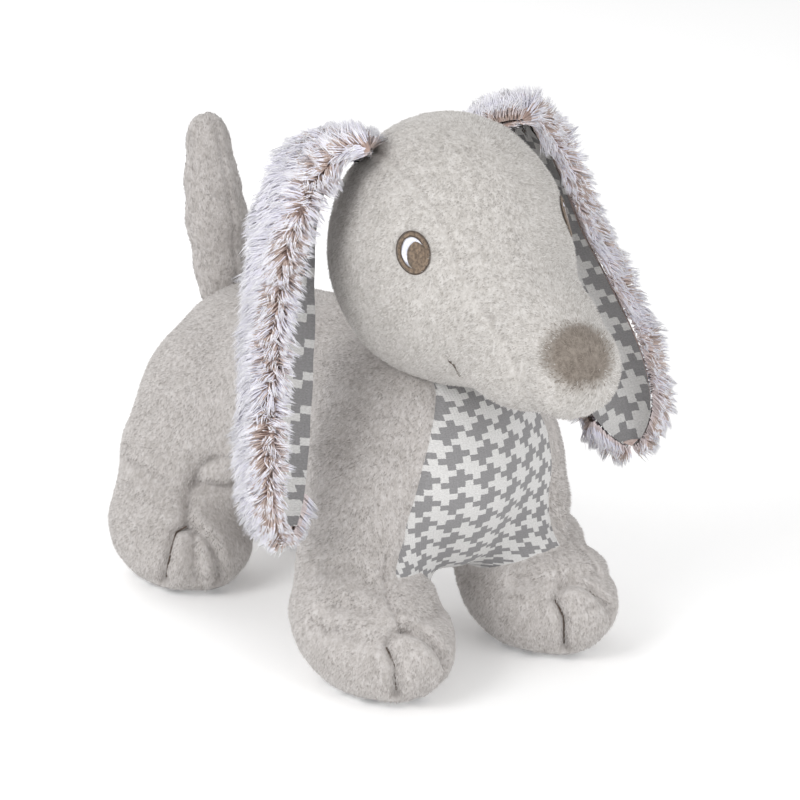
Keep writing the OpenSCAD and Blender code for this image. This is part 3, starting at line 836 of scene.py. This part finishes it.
for kind, tri in (("front", Tf), ("rear", Tr_)):
    for side, s in (("left", 1), ("right", -1)):
        leg = f"{kind}_leg_{side}"
        mine = tri[V[tri].mean(1)[:, 0] * s > 0]
        keep = [N.copy()]
        v2, inner, outer = cut(V, mine, lambda P: (P[:, 0] - seam_x(P, kind == "front", side == "right")) * s, keep)
        keep2 = [keep[0]]
        v3, sole, rest = cut(v2, np.concatenate([inner, outer]), lambda P: P[:, 2] - 3.4 - 0.5 * wobble(P, 6), keep2)
        inn = ((v3[rest].mean(1)[:, 0] - seam_x(v3[rest].mean(1), kind == "front", side == "right")) * s) < 0
        n3 = unit(keep2[0])
        made = []
        for part, t, reps, m, sl in (("inner", rest[inn], [leg + "_inner", leg + "_stuffing"], mat_body, "body_plush"), ("outer", rest[~inn], [leg + "_outer"], mat_body, "body_plush"),
                                     ("sole", sole, [leg + "_sole"], mat_print, "print_jersey")):
            v, f, nn = compact(v3, t, n3)
            o = new_mesh(f"{leg}_{part}_skin", v, f, [m], uv=v[:, :2] / 1000 if part == "sole" else None)
            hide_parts(*reps)
            made.append(o)
        o = pile_on(leg + "_pile", v3, rest, n3, comb_body, pile_body, 1.5, 1.6, 0.21, 0.42)
        made.append(o)
        A, B = [], []
        L = toe_lines[{"front": 0, "rear": 2}[kind] + (1 if side == "left" else 0)]
        line = run_line(L[0], 1.0)
        A.append(line[:-1]); B.append(line[1:] + 0.6 * (line[1:] - line[:-1]))
        if leg == "front_leg_left":
            line = run_line(L[1][4:-3], 1.0)
            A.append(line[:-1]); B.append(line[1:] + 0.6 * (line[1:] - line[:-1]))
        o = threads(leg + "_toe_thread", np.concatenate(A), np.concatenate(B), lambda P: f_body(P) + 2.6, 0.42, 0.2, mat_dark)
        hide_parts(leg + "_toe_stitches")
        made.append(o)
        for o in made:
            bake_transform(o)

# ------------------------------------------------------------------ tail

V, T = skin(f_tail, (-20, 105, 104), (20, 146, 202), 1.0)
N = unit(grad(f_tail, V))
x, y, z = V.T
disp = 0.25 * wobble(V, 12) + 0.1 * wobble(V + 5, 6)
disp -= 0.9 * np.exp(-(np.abs(x) / 1.2) ** 2)
for zc in (138, 172):
    disp -= 0.7 * np.exp(-((z - zc + 0.15 * x) / 3.0) ** 2) * (y < 128)
V = V + N * disp[:, None]
keep = [N]
V, TL, TR = cut(V, T, lambda P: -P[:, 0], keep)
N = unit(keep[0])
for name, t, reps in (("tail_skin_left", TL, ["tail_panel_left", "tail_stuffing"]), ("tail_skin_right", TR, ["tail_panel_right"])):
    v, f, nn = compact(V, t, N)
    o = new_mesh(name, v, f, [mat_body])
    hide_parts(*reps)
    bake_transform(o)
o = pile_on("tail_pile", V, np.concatenate([TL, TR]), N, lambda P: np.stack([0 * P[:, 0], 0 * P[:, 0] + 0.05, 0 * P[:, 0] + 1.0], -1), pile_body, 1.6, 1.6, 0.21, 0.42)
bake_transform(o)

# ------------------------------------------------------------------ ears

FE = np.array([(33, -48, 222.6), (38, -42, 227), (46, -35, 224.5), (57, -36, 213), (67, -37, 193), (73.5, -40, 173), (80, -46, 158), (87, -53, 138), (92, -59, 123), (95, -62, 108), (96, -64, 95), (93, -63, 80)], float)
RE = np.array([(33.5, -26, 216.5), (38, -23, 220), (41.5, -19, 216), (42.5, -18, 205), (46, -17, 188), (48, -19, 170), (51, -25, 155), (56, -31, 138), (61, -37, 122), (67, -43, 106), (74, -50, 93), (82, -57, 78)], float)


def smooth_rows(A, n, passes=6):
    seg = np.r_[0, np.cumsum(np.linalg.norm(np.diff(A, axis=0), axis=1))]
    s = np.linspace(0, seg[-1], n)
    B = np.stack([np.interp(s, seg, A[:, i]) for i in range(3)], -1)
    for _ in range(passes):
        B[1:-1] = (B[:-2] + 2 * B[1:-1] + B[2:]) / 4
    return B


class Ear:
    nu = 96

    def __init__(self, s):
        self.s = s
        f, r = smooth_rows(FE, self.nu, 30), smooth_rows(RE, self.nu, 30)
        c, hw = (f + r) / 2, np.linalg.norm(r - f, axis=1) / 2
        w = unit(r - f)
        t = unit(np.gradient(c, axis=0))
        n = unit(np.cross(t, w))
        w = unit(np.cross(n, t))
        u = np.linspace(0, 1, self.nu)
        end = np.clip((u - 0.90) / 0.10, 0, 1)
        hw = hw * np.sqrt(np.clip(1 - end ** 2.4, 0.0004, 1))
        length = np.r_[0, np.cumsum(np.linalg.norm(np.diff(c, axis=0), axis=1))]
        self.c, self.hw, self.w, self.t, self.n, self.u, self.len = c, hw, w, t, n, u, length
        self.root = np.clip(length / 16, 0.4, 1)

    def cup(self, q):
        return 11.0 * np.clip(1 - q ** 2, 0, 1)

    def at(self, u, q, off):
        """u along the ear from 0 to 1, q across it from -1 (front) to 1 (rear), off outside the lining's face, all arrays."""
        k = u * (self.nu - 1)
        g = lambda a: np.stack([np.interp(k, np.arange(self.nu), a[:, i]) for i in range(3)], -1) if a.ndim > 1 else np.interp(k, np.arange(self.nu), a)
        c, w, n, hw, root = g(self.c), unit(g(self.w)), unit(g(self.n)), g(self.hw), g(self.root)
        P = c + w * (q * hw)[..., None] + n * (self.cup(q) * root * np.minimum(1, hw / 15) + off)[..., None]
        return P, w, unit(g(self.t)), n, hw, root

    def flip(self, P):
        return P * np.array([self.s, 1, 1]) if self.s < 0 else P

    def faces(self, F):
        return F[:, ::-1] if self.s < 0 else F


def grid_faces(n, m, wrap=False):
    i, j = np.meshgrid(np.arange(n - 1), np.arange(m if wrap else m - 1), indexing="ij")
    a, b = i * m + j, i * m + (j + 1) % m
    return np.stack([a, b, b + m, a + m], -1).reshape(-1, 4)


def strands(name, R, D0, D1, L, r0, mats, seg_mat, clump, pull=0.6, shade=None):
    """Tapering curved three-sided strands. clump is the index of the strand that each one leans to."""
    n, K = len(R), 4
    s = np.linspace(0, 1, K)
    P = np.zeros((n, K, 3))
    P[:, 0] = R
    for k in range(1, K):
        m = (s[k] + s[k - 1]) / 2
        P[:, k] = P[:, k - 1] + unit(D0 * (1 - m) + D1 * m) * (L * (s[k] - s[k - 1]))[:, None]
    C = P[clump]
    P = P + (C - P) * (pull * s ** 1.3)[None, :, None]
    D = unit(np.gradient(P, axis=1))
    side = unit(np.cross(D, unit(rng.normal(size=(n, 3)))[:, None]))
    up = np.cross(D, side)
    rad = (r0[:, None] * np.array([1.0, 0.85, 0.55, 0.0])[None])[..., None]
    rings, norms = [], []
    for a in (0, 2.0944, 4.18879):
        o = side[:, :3] * math.cos(a) + up[:, :3] * math.sin(a)
        rings.append(P[:, :3] + o * rad[:, :3])
        norms.append(unit(shade[:, None] * 0.75 + o * 0.55))
    Vv = np.concatenate([np.stack(rings, 2).reshape(n, 9, 3), P[:, 3:4]], 1).reshape(-1, 3)
    Nv = np.concatenate([np.stack(norms, 2).reshape(n, 9, 3), shade[:, None]], 1).reshape(-1, 3)
    k0 = 10 * np.arange(n)[:, None]
    F, idx = [], []
    for lev in range(2):
        for j in range(3):
            a, b = lev * 3 + j, lev * 3 + (j + 1) % 3
            F += [np.concatenate([k0 + a, k0 + b, k0 + b + 3], 1), np.concatenate([k0 + a, k0 + b + 3, k0 + a + 3], 1)]
            idx += [seg_mat[:, lev], seg_mat[:, lev]]
    for j in range(3):
        F.append(np.concatenate([k0 + 6 + j, k0 + 6 + (j + 1) % 3, k0 + 9], 1))
        idx.append(seg_mat[:, 2])
    return Vv, np.concatenate(F), np.concatenate(idx), Nv


def clumps(key, size):
    """Groups strands by nearness in a 2-D map and returns, for each strand, the index of the first strand in its group.
    """
    cell = np.floor(key / size).astype(int)
    _, first, inv = np.unique(cell, axis=0, return_index=True, return_inverse=True)
    return first[inv.ravel()]


PILL = 3.4
for side, s in (("left", 1), ("right", -1)):
    E = Ear(s)
    body = "ear_" + side
    sgn = float(s)
    # the fur fabric: a padded pill section whose inner face carries the lining
    nu, nv = 90, 40
    uu = np.linspace(0.0, 1, nu)
    ang = np.linspace(0, 2 * math.pi, nv, endpoint=False)
    U, A = np.meshgrid(uu, ang, indexing="ij")
    q = np.sign(np.cos(A)) * np.abs(np.cos(A)) ** 0.75
    P, w, t, n, hw, root = E.at(U.ravel(), q.ravel(), np.zeros(U.size))
    sa = np.sin(A).ravel()
    thick = PILL * np.sign(sa) * np.abs(sa) ** 0.6 * root
    P = P + n * (PILL * root + thick)[:, None]
    o = new_mesh("ear_fur_backing_" + side, E.flip(P), E.faces(grid_faces(nu, nv, True)), [mat_furbase, mat_furback],
                 index=np.tile(np.sin(ang + math.pi / nv) > 0.45, nu - 1).astype(int))
    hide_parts("ear_fur_" + side)
    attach(o, body)
    # the printed lining
    nu, nv = 90, 22
    U, Q = np.meshgrid(np.linspace(0.03, 0.985, nu), np.linspace(-0.97, 0.97, nv), indexing="ij")
    P, w, t, n, hw, root = E.at(U.ravel(), Q.ravel(), np.full(U.size, -0.5))
    P = P + n * (0.35 * wobble(P, 7))[:, None]
    ln = np.interp(U.ravel(), E.u, E.len)
    uv = np.stack([Q.ravel() * hw / 1000, -ln / 1000], -1)
    G = grid_faces(nu, nv)
    o = new_mesh("ear_lining_print_" + side, E.flip(P), E.faces(G[:, ::-1]), [mat_print], uv=uv)
    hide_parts("ear_lining_" + side)
    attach(o, body)
    # long pile on the outer face
    nf = int(7600 * PILE)
    u = rng.random(nf) * 0.985 + 0.005
    q = rng.uniform(-0.98, 0.98, nf)
    hwid = np.interp(u, E.u, E.hw)
    ok = rng.random(nf) < np.clip(hwid / 20 + 0.15, 0, 1)
    u, q = u[ok], q[ok]
    P, w, t, n, hw, root = E.at(u, q, np.zeros(len(u)))
    P = P + n * (2 * PILL * root - 0.4)[:, None]
    key = np.stack([np.interp(u, E.u, E.len), q * hw], -1)
    cl = clumps(key + rng.normal(0, 0.4, key.shape), 2.6)
    swirl = wobble(P, 9)[:, None] * w * 0.5 + wobble(P + 77, 6)[:, None] * t * 0.3
    D0 = n * 1.0 + t * 0.3 + swirl + rng.normal(0, 0.16, P.shape) + w * (q * 0.25)[:, None]
    D1 = n * 0.5 + t * 0.9 + swirl * 1.4 + rng.normal(0, 0.2, P.shape)
    L = 13.0 * rng.uniform(0.8, 1.12, len(P)) * np.interp(P[:, 0], [80, 96], [1.0, 0.9])
    sm = np.stack([np.where(rng.random(len(P)) < 0.5, 2, 3), np.full(len(P), 3), np.where(rng.random(len(P)) < 0.35, 3, 4)], 1)
    Vv, F, idx, Nv = strands("", P, D0, D1, L, 0.36 * rng.uniform(0.7, 1.2, len(P)), fur, sm, cl, 0.62, unit(n + w * (q * 0.6)[:, None]))
    o = new_mesh("ear_outer_pile_" + side, E.flip(Vv), E.faces(F), fur, True, idx, normals=E.flip(Nv))
    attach(o, body)
    # pile round the root, which covers the seam into the head
    nr = int(2300 * PILE)
    u, q, th = rng.random(nr) ** 1.3 * 0.15, rng.uniform(-1, 1, nr), rng.uniform(0, 2 * math.pi, nr)
    under = rng.random(nr) < 0.3
    P, w, t, n, hw, root = E.at(u, q, np.zeros(nr))
    P = P + n * np.where(under, 0.3, 2 * PILL * root - 0.4)[:, None]
    sg = np.where(under, -0.45, 1.0)[:, None]
    D0 = n * sg + w * (q * 0.9)[:, None] - t * rng.uniform(0.0, 0.45, nr)[:, None] + rng.normal(0, 0.2, P.shape)
    D1 = n * sg * 0.3 + w * (q * 0.9)[:, None] + rng.normal(0, 0.35, P.shape) - t * rng.uniform(-0.6, 0.4, nr)[:, None]
    L = np.where(under, 5.0, 9.0) * rng.uniform(0.8, 1.15, nr)
    cl = clumps(np.stack([u * 172, q * hw + 200 * under], -1) + rng.normal(0, 0.35, (nr, 2)), 2.7)
    br = rng.random(nr)
    sm = np.stack([np.where(br < 0.6, 0, 1), np.where(br < 0.3, 1, 2), np.where(rng.random(nr) < 0.3, 3, 4)], 1)
    Vv, F, idx, Nv = strands("", P, D0, D1, L, 0.36 * rng.uniform(0.7, 1.2, nr), fur, sm, cl, 0.6, unit(n + w * (q * 0.6)[:, None]))
    o = new_mesh("ear_root_pile_" + side, E.flip(Vv), E.faces(F), fur, True, idx, normals=E.flip(Nv))
    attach(o, body)
    # pile along the rim, parted so that its brown roots show
    nr = int(8800 * PILE)
    edge = rng.random(nr)
    per = E.len[-1]
    frontside = rng.random(nr) < 0.56
    u = rng.random(nr)
    tipn = rng.random(nr) < 0.16
    u = np.where(tipn, 0.90 + 0.1 * rng.random(nr), u * 0.9)
    qe = np.where(frontside, -1.0, 1.0)
    P, w, t, n, hw, root = E.at(u, qe, np.zeros(nr))
    slope = np.gradient(E.hw, E.len)
    sl = np.clip(-np.interp(u, E.u, slope), -0.3, 6)
    e = unit(w * qe[:, None] + t * sl[:, None])
    phi = np.where(frontside | tipn, rng.uniform(-1.45, 1.35, nr), rng.uniform(0.2, 1.5, nr))
    P = P + n * (PILL * root)[:, None] + (e * np.cos(phi)[:, None] + n * np.sin(phi)[:, None]) * (PILL * 0.8 * root)[:, None]
    key = np.stack([np.where(frontside, 0, 400) + np.interp(u, E.u, E.len), phi * 5], -1)
    cl = clumps(key + rng.normal(0, 0.35, key.shape), 2.7)
    sw = wobble(P + 33, 7)[:, None] * t * 0.45
    D0 = e * np.cos(phi * 0.8)[:, None] + n * np.sin(phi * 0.8)[:, None] * 0.8 + t * 0.15 + sw + rng.normal(0, 0.14, P.shape)
    D1 = e * (np.cos(phi * 1.15) * 0.55)[:, None] + n * np.sin(phi * 1.3)[:, None] * 1.2 + t * 0.75 + sw * 1.4 + rng.normal(0, 0.2, P.shape)
    L = 13.0 * rng.uniform(0.78, 1.12, nr) * np.where(phi < -0.3, 0.75, 1.0) * np.where(frontside | tipn, 1.0, 0.72) * np.interp(u, [0.86, 1.0], [1.0, 0.68]) * np.interp(P[:, 0], [85, 98], [1.0, 0.9])
    br = wobble(P + 11, 12) + rng.normal(0, 0.35, nr)
    mid_rim = np.exp(-((phi - 0.15) / 0.75) ** 2)
    sm = np.stack([np.where(mid_rim > 0.4, 0, 2), np.where(br + mid_rim * 0.9 > 0.55, 1, np.where(br > -0.2, 2, 3)), np.where(rng.random(nr) < 0.3, 3, 4)], 1).astype(int)
    Vv, F, idx, Nv = strands("", P, D0, D1, L, 0.34 * rng.uniform(0.7, 1.2, nr), fur, sm, cl, 0.66,
                              unit(e * np.cos(phi)[:, None] + n * np.sin(phi)[:, None]))
    o = new_mesh("ear_rim_pile_" + side, E.flip(Vv), E.faces(F), fur, True, idx, normals=E.flip(Nv))
    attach(o, body)

# ------------------------------------------------------------------ floor, light and camera

me = bpy.data.meshes.new("floor")
me.from_pydata([(-30, -30, 0), (30, -30, 0), (30, 30, 0), (-30, 30, 0)], [], [(0, 1, 2, 3)])
floor = bpy.data.objects.new("floor", me)
bpy.context.scene.collection.objects.link(floor)
n = Nodes("floor_paper")
n.bsdf.inputs["Base Color"].default_value = (0.96, 0.96, 0.96, 1)
n.bsdf.inputs["Emission Color"].default_value = (1, 1, 1, 1)
n.bsdf.inputs["Emission Strength"].default_value = 0.16
n.bsdf.inputs["Roughness"].default_value = 0.95
n.bsdf.inputs["Specular IOR Level"].default_value = 0.05
me.materials.append(n.m)

world = bpy.data.worlds.new("studio")
bpy.context.scene.world = world
world.use_nodes = True
world.node_tree.nodes["Background"].inputs[0].default_value = (1, 1, 1, 1)
world.node_tree.nodes["Background"].inputs[1].default_value = 0.62

az, el = math.radians(-35.8), math.radians(19.3)
target = Vector((0.025, 0.0252, 0.0894))
back = Vector((math.sin(az) * math.cos(el), -math.cos(az) * math.cos(el), math.sin(el)))
right = Vector((math.cos(az), math.sin(az), 0))


def lamp(name, pos, power, size, colour=(1, 1, 1)):
    l = bpy.data.lights.new(name, "AREA")
    l.energy, l.size, l.color = power, size, colour
    o = bpy.data.objects.new(name, l)
    o.location = target + Vector(pos)
    o.rotation_mode = "QUATERNION"
    o.rotation_quaternion = (target - o.location).to_track_quat("-Z", "Y")
    bpy.context.scene.collection.objects.link(o)


lamp("key", back * 1.2 - right * 1.05 + Vector((0, 0, 0.7)), 14, 0.8)
lamp("fill", back * 1.2 + right * 0.9 + Vector((0, 0, 0.25)), 7, 0.9)
lamp("rim", -back * 0.8 - right * 0.6 + Vector((0, 0, 0.9)), 4, 0.8)

cam = bpy.data.cameras.new("camera")
cam.lens, cam.sensor_width = 183.6, 36
cam.clip_start, cam.clip_end = 0.05, 100
camera = bpy.data.objects.new("camera", cam)
camera.location = target + back * 1.760
camera.rotation_mode = "QUATERNION"
camera.rotation_quaternion = (-back).to_track_quat("-Z", "Y")
bpy.context.scene.collection.objects.link(camera)
bpy.context.scene.camera = camera
bpy.context.scene.view_settings.view_transform = "Standard"

bpy.context.view_layer.update()
